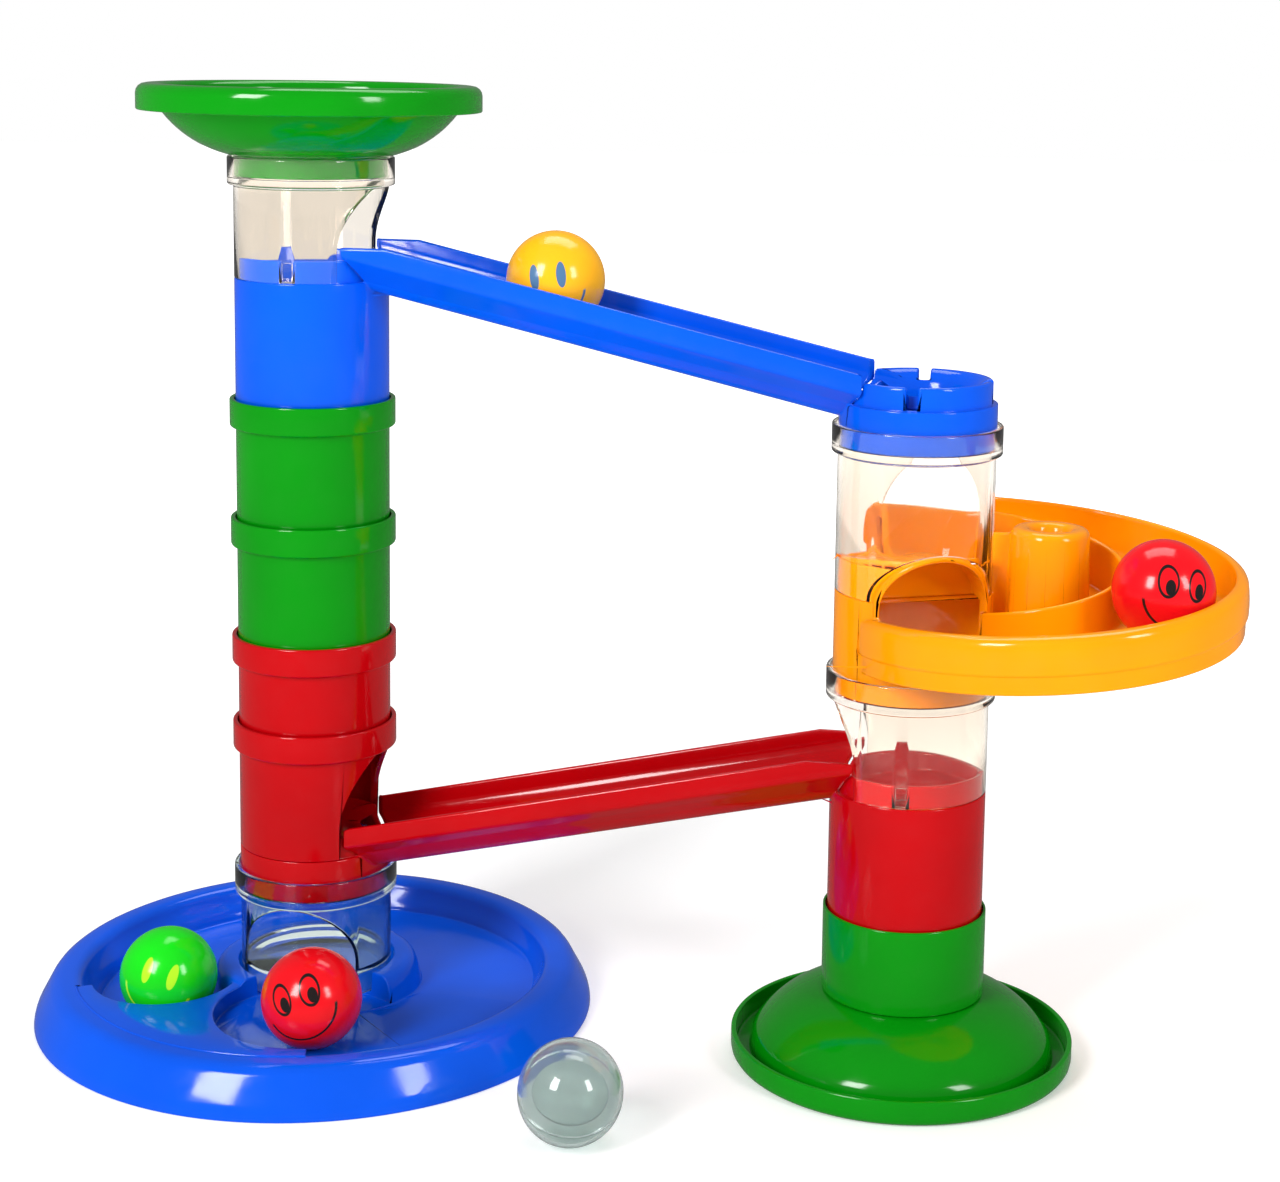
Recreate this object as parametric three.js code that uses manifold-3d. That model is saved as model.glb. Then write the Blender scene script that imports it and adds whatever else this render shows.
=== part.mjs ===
// A toddler's marble run: two towers of plug-together tubes, two straight ramps between them,
// a spiral track on the right tower, a collecting tray, a funnel and five loose balls.
// Millimetres, +Z up. The run stands on z = 0, centred on its own outline.
import * as THREE from 'three';
import { mergeVertices } from 'three/addons/utils/BufferGeometryUtils.js';
import Module from 'manifold-3d';

const wasm = await Module();
wasm.setup();

// ---- driving dimensions -------------------------------------------------------------------
const BALL_R = 22.5;
const GAP = 0.3; // between pieces that touch in use
const BALL_LIFT = 0.4; // between a ball and the floor that it stands on

const TUBE_R = 35.5; // outside of every tube
const BORE_R = 33.6;
const COLLAR_R = 38.3;
const COLLAR_HEIGHT = 12.8;
const SOCKET_R = 36.1; // inside of a collar
const SPIGOT = 9.2; // how far a tube goes into the collar below
const MODULE = 56; // rise of one tube
const SHORT_MODULE = 41.4;
const ARCH_MODULE = 60.6; // the two together rise as far as a ramp's ends need
const SHOULDER = 10; // rise from a collar's top to the shoulder of a ramp's lower socket

const CROWN_R = 33.2; // ring on top of a ramp's tube that the next tube slips over
const CROWN_INNER_R = 30.9;
const CROWN_HEIGHT = 10.5;
const NOTCH_WIDTH = 5.4;
const LUG_WIDTH = 4.6;

const SPAN = 282.6; // between the axes of the two towers
const RAMP_TURN = THREE.MathUtils.degToRad(-9.2); // blue ramp's heading, from the left tower
const CHUTE_SLOPE = 0.2235;
const CHUTE_HALF = 26.5;
const CHUTE_DEPTH = 23.5;
const CHUTE_WALL = 2.3;
const CHUTE_END = 24; // from the lower end of the walls to the lower socket's axis
const CHUTE_TOP = 24.5; // wall top at the lower end, above the collars that hold the ramp
const CHUTE_CREST = MODULE + 16.5; // level stretch of the wall tops beside the upper tube
const DECK_RISE = 56.5; // deck inside the upper tube, on its axis
const DECK_SLOPE = 0.08;
const THROAT_R = 24.3; // hole that the ball falls through at a ramp's lower end

const BELL_HALF = 28; // side opening of a tube above a ramp
const BELL_STRAIGHT = 14.5;
const BELL_RISE = 30; // on a tube of one module
const ARCH_HALF = 27; // round-topped exit of the tray tube and of the spiral tower

const FUNNEL_HEIGHT = 32.5;
const FUNNEL_R = 78.5;
const BOWL_R = 68.5;
const LIP_HEIGHT = 12;
const SHELL = 2.4;

const TRAY_R = 132;
const TRAY_TOP = 22;
const TRAY_INNER_R = 103;
const BOSS_R = 50.5;
const BOSS_TOP = 24;
const SEAT_TOP = 14; // where the tray's tube stands
const CHANNEL_R = 77; // middle of the tray's channel
const CHANNEL_TOP = 13; // channel floor at the front, under the exit
const CHANNEL_FALL = 1.83; // per radian, counter-clockwise
const WELL = new THREE.Vector2(-67, -26); // round end of the channel
const WELL_R = 33.5;
const EXIT = new THREE.Vector2(8, -60); // round hollow in front of the exit
const EXIT_R = 44;
const EXIT_FLOOR = 26.5; // floor inside the tray's tube
const TRAY_WALL = 2.5;
const FOOT = 1.2; // lower edge of the tray's inner walls

const HUB_OFFSET = 60.5; // spiral's axis, from the axis of the right tower
const SPIRAL_TURN = THREE.MathUtils.degToRad(-4.5);
const TRACK_R = 58.5; // middle of the spiral track
const TRACK_INNER = 34;
const TRACK_OUTER = 82;
const TRACK_RIM = 88.4;
const TRACK_TOP = 236.5; // floor on the axis of the tower, at the start
const TRACK_FALL = 7.6; // per radian, clockwise
const TRACK_RAIL = 21.5; // wall tops above the floor
const POST_R = 19;
const POST_TOP = 250.5;
const SPIRAL_SHOULDER = 36; // above the collar that holds the spiral tower
const SPIRAL_CROWN = 52;
const SPIRAL_ARCH_TOP = 56;
const TRACK_FROM = 2.98; // azimuth of the start of the track, in radians
const TRACK_TO = -2.62; // floor at the foot of the arch
const TRACK_END = -2.83; // end of the rim, against the tower
const SLEEVE_R = 37.3;

const YELLOW_BALL_ALONG = 116; // from the blue ramp's upper tube
const SPIRAL_BALL = [58.5, -35.5]; // radius and degrees round the hub
const FRONT_BALL = [82, -81.5]; // the same, round the tray
const WELL_BALL = [72.5, 209.5];
const LOOSE_BALL = new THREE.Vector2(132.9, -143.7); // from the tray's axis, on the floor
const HOLLOW_WALL = 1.6;

const ROUND = 24; // facets round a tube
const FUNNEL_ROUND = 28;
const TRAY_ROUND = 40;
const HALF_ARC = 5; // facets from a hollow ball's seam to its pole
const EXIT_TOP = 72; // top of the tray tube's collar and of the base's sleeve

// ---- colours ------------------------------------------------------------------------------
const gloss = (color, roughness = 0.25) => new THREE.MeshStandardMaterial({ color, roughness, metalness: 0 });
const clear = (color) => new THREE.MeshStandardMaterial({
  color, roughness: 0.08, metalness: 0, transparent: true, opacity: 0.4,
});
const GREEN = gloss('#0c9018');
const RED = gloss('#c80614');
const BLUE = gloss('#0a5fe0');
const YELLOW = gloss('#ffae0c');
const CLEAR = clear('#ece2d4');
const BALL_YELLOW = gloss('#ffbe20');
const BALL_RED = gloss('#f01020');
const BALL_GREEN = gloss('#18e81c');
const BALL_CLEAR = clear('#b8c4bc');

// ---- shape helpers ------------------------------------------------------------------------
// A closed solid from any closed three.js geometry, turned so that its faces point out.
function solid(geometry) {
  const bare = new THREE.BufferGeometry();
  bare.setAttribute('position', geometry.getAttribute('position'));
  bare.setIndex(geometry.index);
  const merged = mergeVertices(bare, 1e-3);
  const points = merged.getAttribute('position').array;
  const corners = merged.index.array;
  const faces = [];
  let volume = 0;
  const [a, b, c] = [new THREE.Vector3(), new THREE.Vector3(), new THREE.Vector3()];
  for (let i = 0; i < corners.length; i += 3) {
    const [p, q, r] = [corners[i], corners[i + 1], corners[i + 2]];
    if (p === q || q === r || r === p) continue;
    faces.push([p, q, r]);
    a.fromArray(points, 3 * p);
    b.fromArray(points, 3 * q);
    c.fromArray(points, 3 * r);
    volume += a.dot(b.cross(c));
  }
  if (volume < 0) faces.forEach((face) => face.reverse());
  const triVerts = new Uint32Array(faces.flat());
  return new wasm.Manifold(new wasm.Mesh({ numProp: 3, vertProperties: new Float32Array(points), triVerts }));
}

// A ring or cup: a profile of [radius, height] points turned about Z.
function turned(profile, segments = ROUND) {
  const points = profile.map(([radius, height]) => new THREE.Vector2(radius, height));
  if (profile[0][0] > 0) points.push(points[0].clone());
  return solid(new THREE.LatheGeometry(points, segments).rotateX(Math.PI / 2));
}

function rod(radius, bottom, top, x = 0, y = 0) {
  const geometry = new THREE.CylinderGeometry(radius, radius, top - bottom, ROUND);
  return solid(geometry.rotateX(Math.PI / 2).translate(x, y, (bottom + top) / 2));
}

function block(x, y, z, width, depth, height) {
  return solid(new THREE.BoxGeometry(width, depth, height).translate(x, y, z));
}

// A path whose sections stay upright, however it turns or falls.
class LevelPath extends THREE.Curve {
  constructor(place, side) {
    super();
    this.place = place;
    this.side = side;
  }

  getPoint(t, target = new THREE.Vector3()) {
    return target.copy(this.place(t));
  }

  computeFrenetFrames(segments) {
    const steps = Array.from({ length: segments + 1 }, (_, i) => i / segments);
    return {
      tangents: steps.map((t) => this.getTangent(t)),
      normals: steps.map((t) => this.side(t)),
      binormals: steps.map(() => new THREE.Vector3(0, 0, 1)),
    };
  }
}

// A coil about Z from one azimuth to another; height(azimuth) is its level.
function coil(radius, from, to, height) {
  const azimuth = (t) => THREE.MathUtils.lerp(from, to, t);
  const side = (t) => new THREE.Vector3(Math.cos(azimuth(t)), Math.sin(azimuth(t)), 0);
  const place = (t) => side(t).multiplyScalar(radius).setZ(height(azimuth(t)));
  return new LevelPath(place, side);
}

// A straight run above the X axis; height(x) is its level.
function run(from, to, height) {
  const place = (t) => {
    const x = THREE.MathUtils.lerp(from, to, t);
    return new THREE.Vector3(x, 0, height(x));
  };
  return new LevelPath(place, () => new THREE.Vector3(0, 1, 0));
}

function sweep(section, path, steps) {
  const shape = new THREE.Shape(section.map(([side, up]) => new THREE.Vector2(side, up)));
  return solid(new THREE.ExtrudeGeometry(shape, { steps, bevelEnabled: false, extrudePath: path }));
}

// A window cut straight through one side of a tube: sides up to `straight`, then a round top.
function sideCut(half, bottom, straight, rise, azimuth, ceiling = Infinity) {
  const shape = new THREE.Shape();
  shape.moveTo(-half, bottom);
  shape.lineTo(half, bottom);
  shape.lineTo(half, straight);
  shape.absellipse(0, straight, half, rise, 0, Math.PI, false, 0);
  const geometry = new THREE.ExtrudeGeometry(shape, { depth: 60, bevelEnabled: false, curveSegments: 8 });
  const across = new THREE.Vector3(0, 1, 0);
  const up = new THREE.Vector3(0, 0, 1);
  const out = new THREE.Vector3(1, 0, 0);
  geometry.applyMatrix4(new THREE.Matrix4().makeBasis(across, up, out)).rotateZ(azimuth);
  const window = solid(geometry);
  return ceiling < straight + rise ? window.subtract(rod(100, ceiling, straight + rise + 1)) : window;
}

const quarter = Math.PI / 2;

function mesh(name, body, material, x = 0, y = 0, z = 0) {
  const { vertProperties, triVerts } = body.getMesh();
  const geometry = new THREE.BufferGeometry();
  geometry.setAttribute('position', new THREE.BufferAttribute(vertProperties, 3));
  geometry.setIndex(new THREE.BufferAttribute(triVerts, 1));
  geometry.computeVertexNormals();
  const piece = new THREE.Mesh(geometry, material);
  piece.name = name;
  piece.position.set(x, y, z);
  return piece;
}

// ---- tubes --------------------------------------------------------------------------------
// A tube with a collar at its top; z = 0 is the plane that the tube below ends in.
function tube(rise, bottom = -SPIGOT) {
  return turned([
    [BORE_R, bottom], [TUBE_R, bottom], [TUBE_R, rise - COLLAR_HEIGHT - 0.8],
    [COLLAR_R, rise - COLLAR_HEIGHT], [COLLAR_R, rise], [SOCKET_R, rise],
    [SOCKET_R, rise - SPIGOT - GAP], [BORE_R, rise - SPIGOT - GAP],
  ]);
}

// The two lugs inside a tube that drop into the notches of the crown below.
function lugs() {
  const depth = 2.2;
  const height = CROWN_HEIGHT - 2;
  return [-1, 1].map((side) => {
    return block(0, side * (BORE_R + 0.4 - depth / 2), 3 * GAP + height / 2, LUG_WIDTH, depth, height);
  });
}

// A tube that stands over a ramp's end: the ball passes through a bell-shaped window.
function bellTube(rise) {
  const arch = BELL_RISE + rise - MODULE;
  const window = sideCut(BELL_HALF, -1, BELL_STRAIGHT, arch, 0, rise - COLLAR_HEIGHT - 1);
  return wasm.Manifold.union([tube(rise, GAP).subtract(window), ...lugs()]);
}

function exitTube() {
  const bottom = SEAT_TOP + GAP;
  const straight = EXIT_TOP - COLLAR_HEIGHT - 1 - ARCH_HALF;
  const window = sideCut(ARCH_HALF, bottom - 1, straight, ARCH_HALF, -quarter);
  const floor = rod(BORE_R + 0.5, EXIT_FLOOR - 2, EXIT_FLOOR);
  const passage = block(0, -TUBE_R - 5, EXIT_FLOOR, 2 * ARCH_HALF - 2, 15, 10);
  return tube(EXIT_TOP, bottom).subtract(window).add(floor.subtract(passage));
}

// A plain sleeve that joins the base's neck to the tube above; its middle is thicker.
function sleeve() {
  const bottom = FUNNEL_HEIGHT + GAP;
  return turned([
    [SOCKET_R, bottom], [SLEEVE_R, bottom], [SLEEVE_R, EXIT_TOP], [SOCKET_R, EXIT_TOP],
    [SOCKET_R, EXIT_TOP - SPIGOT - GAP], [BORE_R, EXIT_TOP - SPIGOT - GAP],
    [BORE_R, bottom + SPIGOT + GAP], [SOCKET_R, bottom + SPIGOT + GAP],
  ]);
}

// ---- funnel -------------------------------------------------------------------------------
// Neck down, bowl up; z = 0 is where the bowl meets the neck. The base is the same piece turned over.
function funnel() {
  const bowl = (start, middle, end) => {
    const corners = [start, middle, end].map(([radius, up]) => new THREE.Vector2(radius, up));
    const points = new THREE.QuadraticBezierCurve(...corners).getPoints(4);
    return points.map((point) => [point.x, point.y]);
  };
  const under = bowl([TUBE_R + 1, 0], [57, 5], [BOWL_R, 24]);
  const inside = bowl([BOWL_R - SHELL, 24.4], [56, 7.6], [BORE_R, SHELL]);
  const top = FUNNEL_HEIGHT;
  const lip = top - LIP_HEIGHT;
  const rim = FUNNEL_R - SHELL;
  return turned([
    [BORE_R, -SPIGOT], [TUBE_R, -SPIGOT], [TUBE_R, 0], ...under,
    [BOWL_R + 0.8, top - SHELL], [rim, top - SHELL - 0.6], [rim, lip], [FUNNEL_R, lip],
    [FUNNEL_R, top - 3], [FUNNEL_R - 3, top], [BOWL_R + 1.2, top], [BOWL_R - SHELL, top - 3.5],
    ...inside,
  ], FUNNEL_ROUND);
}

// ---- ramps --------------------------------------------------------------------------------
// X runs from the upper tube's axis to the lower socket's; z = 0 is the top of the two collars.
const chuteTop = (x) => CHUTE_TOP + CHUTE_SLOPE * (SPAN - CHUTE_END - x);

const chuteOutline = [
  [CHUTE_HALF, 0], [CHUTE_HALF - 0.8, -9.5], [14, -CHUTE_DEPTH + 1.5], [11, -CHUTE_DEPTH],
  [-11, -CHUTE_DEPTH], [-14, -CHUTE_DEPTH + 1.5], [-CHUTE_HALF + 0.8, -9.5], [-CHUTE_HALF, 0],
];

function chuteHollow(lift = 0) {
  const half = CHUTE_HALF - CHUTE_WALL;
  const floor = -CHUTE_DEPTH + CHUTE_WALL;
  return [
    [half, lift], [half - 0.8, -9.3], [12.5, floor + 1.2], [10, floor],
    [-10, floor], [-12.5, floor + 1.2], [-half + 0.8, -9.3], [-half, lift],
  ];
}

function chute() {
  const trough = sweep([...chuteOutline, ...chuteHollow().reverse()], run(0, SPAN, chuteTop), 1);
  const crest = block(SPAN / 2, 0, CHUTE_CREST + 20, SPAN + 20, 80, 40);
  const tubes = [0, SPAN].map((x) => rod(TUBE_R + GAP, -40, 100, x));
  return trough.subtract(wasm.Manifold.union([crest, ...tubes]));
}

// The cut that lets the ball pass between a tube's crown and the chute.
function chuteMouth(from, to) {
  return sweep(chuteHollow(40), run(from, to, chuteTop), 1);
}

// The socket's notches face along and across the ramp; x is the crown's axis.
function notches(x, shoulder, directions) {
  const height = CROWN_HEIGHT + 1;
  return directions.map(([along, across]) => {
    const width = along ? 8 : NOTCH_WIDTH;
    const depth = along ? NOTCH_WIDTH : 8;
    const reach = CROWN_R - 2;
    return block(x + along * reach, across * reach, shoulder + height / 2 + 0.4, width, depth, height);
  });
}

function rampUpperTube() {
  const shoulder = MODULE;
  const crown = shoulder + CROWN_HEIGHT;
  const shell = turned([
    [BORE_R, -SPIGOT], [TUBE_R, -SPIGOT], [TUBE_R, shoulder], [CROWN_R, shoulder],
    [CROWN_R, crown], [CROWN_INNER_R, crown], [CROWN_INNER_R, shoulder - 3],
    [BORE_R, shoulder - 5],
  ]);
  const half = CROWN_R;
  const deck = sweep(
    [[half, 0], [half, -CHUTE_WALL], [-half, -CHUTE_WALL], [-half, 0]],
    run(-half, TUBE_R + 4, (x) => DECK_RISE - DECK_SLOPE * x),
    1,
  ).intersect(rod(CROWN_R - 0.6, shoulder - 20, crown));
  const cuts = [chuteMouth(14, 60), ...notches(0, shoulder, [[0, 1], [0, -1], [-1, 0]])];
  return shell.subtract(wasm.Manifold.union(cuts)).add(deck);
}

function rampLowerSocket() {
  const shoulder = SHOULDER;
  const crown = shoulder + CROWN_HEIGHT;
  const inside = THROAT_R;
  const outside = THROAT_R + 2.3;
  const profile = [
    [BORE_R, -SPIGOT], [TUBE_R, -SPIGOT], [TUBE_R, shoulder], [CROWN_R, shoulder],
    [CROWN_R, crown], [CROWN_INNER_R, crown], [inside + 2.1, crown - 3.5], [inside, crown - 9],
    [inside, -1], [outside, -1], [outside, crown - 8.5], [CROWN_INNER_R - 0.8, crown - 3.6],
    [CROWN_INNER_R, shoulder - 2], [BORE_R, shoulder - 4],
  ];
  const ring = turned(profile).translate(SPAN, 0, 0);
  const cuts = [chuteMouth(SPAN - 60, SPAN), ...notches(SPAN, shoulder, [[0, 1], [0, -1], [1, 0]])];
  return ring.subtract(wasm.Manifold.union(cuts));
}

// ---- tray ---------------------------------------------------------------------------------
const channelFloor = (azimuth) => CHANNEL_TOP - CHANNEL_FALL * (azimuth + quarter);

function sector(inner, outer, from, to, bottom, top) {
  const shape = new THREE.Shape();
  shape.absarc(0, 0, outer, from, to, false);
  shape.absarc(0, 0, inner, to, from, true);
  const geometry = new THREE.ExtrudeGeometry(shape, {
    depth: top - bottom, bevelEnabled: false, curveSegments: 12,
  });
  return solid(geometry.translate(0, 0, bottom));
}

function baseTray() {
  const top = TRAY_TOP;
  const wall = TRAY_WALL;
  const rim = turned([
    [TRAY_R - wall, 0], [TRAY_R, 0], [TRAY_R - 0.6, 4], [124.6, 18], [120, top],
    [110, top], [106.6, 16.5], [TRAY_INNER_R, FOOT], [TRAY_INNER_R + wall, FOOT],
    [108.8, 16], [111, top - wall], [118.8, top - wall], [122.3, 16.2], [129, 3.4],
  ], TRAY_ROUND);
  const boss = turned([
    [0, SEAT_TOP - wall], [48, SEAT_TOP - wall], [48, FOOT], [BOSS_R, FOOT], [50, 10], [47.5, 20],
    [46.5, 23], [44.5, BOSS_TOP], [37.2, BOSS_TOP], [36.2, 23], [36.2, SEAT_TOP], [0, SEAT_TOP],
  ]);
  const wellAzimuth = Math.atan2(WELL.y, WELL.x) + 2 * Math.PI;
  const exitAzimuth = Math.atan2(EXIT.y, EXIT.x) + 2 * Math.PI;
  const inner = 46 - CHANNEL_R;
  const outer = TRAY_INNER_R + 1 - CHANNEL_R;
  const floor = sweep(
    [[inner, 0], [outer, 0], [outer, -wall], [inner, -wall]],
    coil(CHANNEL_R, -0.75 * Math.PI, wellAzimuth + 0.5, channelFloor),
    24,
  );
  const exitHollow = rod(EXIT_R, CHANNEL_TOP, 40, EXIT.x, EXIT.y);
  const deck = sector(45, 107.8, wellAzimuth, exitAzimuth, FOOT, top)
    .subtract(rod(WELL_R, -1, 40, WELL.x, WELL.y));
  const underDeck = sector(52, 105.3, wellAzimuth - 0.2, exitAzimuth + 0.2, -1, top - wall)
    .subtract(rod(WELL_R + wall, -2, 41, WELL.x, WELL.y))
    .subtract(rod(EXIT_R + wall, -2, 41, EXIT.x, EXIT.y));
  const raised = boss.add(deck).subtract(exitHollow);
  return wasm.Manifold.union([rim, raised, floor]).subtract(underDeck);
}

// ---- spiral -------------------------------------------------------------------------------
// The track's azimuth is taken about the hub: pi on the tower's axis, then clockwise to -pi.
const trackFloor = (azimuth) => TRACK_TOP - TRACK_FALL * (Math.PI - azimuth);
const trackMouth = Math.acos(-(HUB_OFFSET ** 2 + TUBE_R ** 2 - TRACK_R ** 2) / (2 * HUB_OFFSET * TUBE_R));

function spiralTower(base) {
  const shoulder = SPIRAL_SHOULDER;
  const crown = SPIRAL_CROWN;
  const shell = turned([
    [BORE_R, -SPIGOT], [TUBE_R, -SPIGOT], [TUBE_R, shoulder], [CROWN_R, shoulder],
    [CROWN_R, crown], [CROWN_INNER_R, crown], [CROWN_INNER_R, shoulder - 3],
    [BORE_R, shoulder - 5],
  ]);
  const frontAzimuth = trackMouth - Math.PI;
  const rise = ARCH_HALF - 4;
  const sill = trackFloor(TRACK_TO) - base;
  const exit = sideCut(ARCH_HALF - 2, sill, SPIRAL_ARCH_TOP - rise, rise, frontAzimuth);
  const start = sideCut(BELL_HALF - 1, shoulder - 2, crown + 10, 5, -frontAzimuth);
  const hood = sideCut(ARCH_HALF, 10, SPIRAL_ARCH_TOP - rise + 2, rise, frontAzimuth)
    .intersect(rod(TUBE_R, 0, shoulder - 1).add(rod(CROWN_R, 0, 80)))
    .subtract(rod(CROWN_INNER_R, -1, 81));
  const deck = sweep(
    [[-10, 0], [120 - TRACK_R, 0], [120 - TRACK_R, -TRAY_WALL], [-10 - TRACK_R / 2, -TRAY_WALL],
      [-10 - TRACK_R / 2, 0]],
    coil(TRACK_R, Math.PI + 0.75, Math.PI - 0.75, (azimuth) => trackFloor(azimuth) - base),
    10,
  ).translate(HUB_OFFSET, 0, 0).intersect(rod(CROWN_R - 0.6, 0, 80));
  return shell.subtract(start).add(hood).subtract(exit).add(deck);
}

function spiralTrack(base) {
  const wall = SHELL;
  const rail = TRACK_RAIL;
  const section = [
    [16, -wall], [TRACK_OUTER + wall, -wall], [TRACK_OUTER + wall, rail - 3.5],
    [TRACK_RIM - wall, rail - 3.5],
    [TRACK_RIM - wall, -wall - 1], [TRACK_RIM, -wall - 1], [TRACK_RIM, rail - 6], [TRACK_RIM - 1, rail - 2],
    [TRACK_RIM - 3.2, rail], [TRACK_OUTER + 1.1, rail - 1.4], [TRACK_OUTER, rail - 4], [TRACK_OUTER, 3],
    [TRACK_OUTER - 4, 0], [TRACK_INNER + 2.5, 0], [TRACK_INNER, 2.5], [TRACK_INNER, rail - 1],
    [TRACK_INNER - 1.2, rail], [TRACK_INNER - wall, rail - 1], [TRACK_INNER - wall, 0], [16, 0],
  ].map(([radius, up]) => [radius - TRACK_R, up]);
  const height = (azimuth) => trackFloor(azimuth) - base;
  const track = sweep(section, coil(TRACK_R, TRACK_FROM, TRACK_END, height), 27);
  const top = POST_TOP - base;
  const post = turned([
    [8, 0], [POST_R, 0], [POST_R - 1.8, top - 2], [POST_R - 3.6, top], [10, top], [8, top - 2],
  ]);
  const tower = rod(TUBE_R + GAP, -50, 100, -HUB_OFFSET).add(rod(COLLAR_R + GAP, -50, GAP, -HUB_OFFSET));
  const bore = rod(8, -1, top + 1);
  const [high, low] = [top - 3, trackFloor(TRACK_TO) - base - wall];
  const web = block(3 - (POST_R + HUB_OFFSET) / 2, 0, (high + low) / 2, HUB_OFFSET - POST_R + 6, wall, high - low)
    .subtract(bore);
  return track.subtract(bore).add(post).add(web).subtract(tower);
}

// The tube above the spiral tower: one window for the start of the track, one over its exit.
function spiralTopTube(rise) {
  const frontAzimuth = trackMouth - Math.PI;
  const start = sideCut(BELL_HALF, -1, 26, BELL_RISE, -frontAzimuth, rise - COLLAR_HEIGHT - 1);
  const front = sideCut(ARCH_HALF + 1, -1, 1, ARCH_HALF - 5.5, frontAzimuth);
  return tube(rise, GAP).subtract(start.add(front));
}

// ---- balls --------------------------------------------------------------------------------
const ball = () => solid(new THREE.IcosahedronGeometry(BALL_R, 3));

// One half of the hollow ball: its open edge lies in the plane z = 0 and it faces up or down.
function halfShell(side) {
  const arc = (radius, from, to) => Array.from({ length: HALF_ARC + 1 }, (_, i) => {
    const angle = THREE.MathUtils.lerp(from, to, i / HALF_ARC);
    return [radius * Math.cos(angle), radius * Math.sin(angle) + GAP / 2];
  });
  const profile = [...arc(BALL_R - HOLLOW_WALL, quarter, 0), ...arc(BALL_R, 0, quarter)];
  return turned(profile, 20).rotate([side > 0 ? 0 : 180, 0, 0]);
}

const ballDisc = () => turned([[0, -0.9], [15, -0.9], [16.5, 0], [15, 0.9], [0, 0.9]], 20);

// ---- assembly -----------------------------------------------------------------------------
const group = new THREE.Group();
const leftTower = new THREE.Group();
const rightTower = new THREE.Group();
const blueRamp = new THREE.Group();
const redRamp = new THREE.Group();
const spiral = new THREE.Group();

rightTower.position.set(SPAN * Math.cos(RAMP_TURN), SPAN * Math.sin(RAMP_TURN), 0);

const level = EXIT_TOP + SHOULDER; // the red ramp's lower shoulder
const archTubeTop = level + ARCH_MODULE;
const shortTop = archTubeTop + SHORT_MODULE;
const lowerGreenTop = shortTop + MODULE;
const upperGreenTop = lowerGreenTop + MODULE;
const blueShoulder = upperGreenTop + MODULE;
const leftTop = blueShoulder + MODULE;

const turnedMesh = (piece, azimuth) => {
  piece.rotation.z = azimuth;
  return piece;
};

leftTower.add(
  mesh('base_tray', baseTray(), BLUE),
  turnedMesh(mesh('tray_exit_tube', exitTube(), CLEAR), RAMP_TURN),
  turnedMesh(mesh('red_arch_tube', bellTube(ARCH_MODULE), RED, 0, 0, level), RAMP_TURN),
  mesh('red_short_tube', tube(SHORT_MODULE), RED, 0, 0, archTubeTop),
  mesh('green_tube_lower', tube(MODULE), GREEN, 0, 0, shortTop),
  mesh('green_tube_upper', tube(MODULE), GREEN, 0, 0, lowerGreenTop),
  turnedMesh(mesh('clear_tube_left', bellTube(MODULE), CLEAR, 0, 0, blueShoulder), RAMP_TURN),
  mesh('funnel', funnel(), GREEN, 0, 0, leftTop + GAP),
);

blueRamp.position.z = upperGreenTop;
blueRamp.rotation.z = RAMP_TURN;
blueRamp.add(
  mesh('blue_ramp_upper_tube', rampUpperTube(), BLUE),
  mesh('blue_ramp_chute', chute(), BLUE),
  mesh('blue_ramp_lower_socket', rampLowerSocket(), BLUE),
);
leftTower.add(blueRamp);

redRamp.position.z = EXIT_TOP;
redRamp.rotation.z = RAMP_TURN + Math.PI;
redRamp.add(
  mesh('red_ramp_upper_tube', rampUpperTube(), RED),
  mesh('red_ramp_chute', chute(), RED),
  mesh('red_ramp_lower_socket', rampLowerSocket(), RED),
);
rightTower.add(redRamp);

const redShoulder = EXIT_TOP + MODULE;
const spiralBase = redShoulder + MODULE;
const spiralTop = spiralBase + SPIRAL_SHOULDER;
const foot = mesh('base_funnel', funnel(), GREEN, 0, 0, FUNNEL_HEIGHT);
foot.rotation.x = Math.PI;

rightTower.add(
  foot,
  mesh('base_sleeve', sleeve(), GREEN),
  turnedMesh(mesh('clear_tube_right_lower', bellTube(MODULE), CLEAR, 0, 0, redShoulder), RAMP_TURN + Math.PI),
);

spiral.position.z = spiralBase;
spiral.rotation.z = SPIRAL_TURN;
spiral.add(
  mesh('spiral_tower', spiralTower(spiralBase), YELLOW),
  mesh('spiral_track', spiralTrack(spiralBase), YELLOW, HUB_OFFSET, 0, 0),
  mesh('clear_tube_right_upper', spiralTopTube(upperGreenTop - spiralTop), CLEAR, 0, 0, SPIRAL_SHOULDER),
);
rightTower.add(spiral);

// Balls: one on the blue ramp, one on the spiral, two in the tray and one on the floor in front.
const yellowFloor = chuteTop(YELLOW_BALL_ALONG) - CHUTE_DEPTH + CHUTE_WALL;
const yellowUp = yellowFloor + (BALL_R + BALL_LIFT) / Math.cos(Math.atan(CHUTE_SLOPE));
blueRamp.add(mesh('ball_yellow', ball(), BALL_YELLOW, YELLOW_BALL_ALONG, 0, yellowUp));

const spiralAzimuth = THREE.MathUtils.degToRad(SPIRAL_BALL[1]);
spiral.add(mesh(
  'ball_red_spiral', ball(), BALL_RED,
  HUB_OFFSET + SPIRAL_BALL[0] * Math.cos(spiralAzimuth),
  SPIRAL_BALL[0] * Math.sin(spiralAzimuth),
  trackFloor(spiralAzimuth) - spiralBase + BALL_R + 2 * BALL_LIFT,
));

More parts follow.
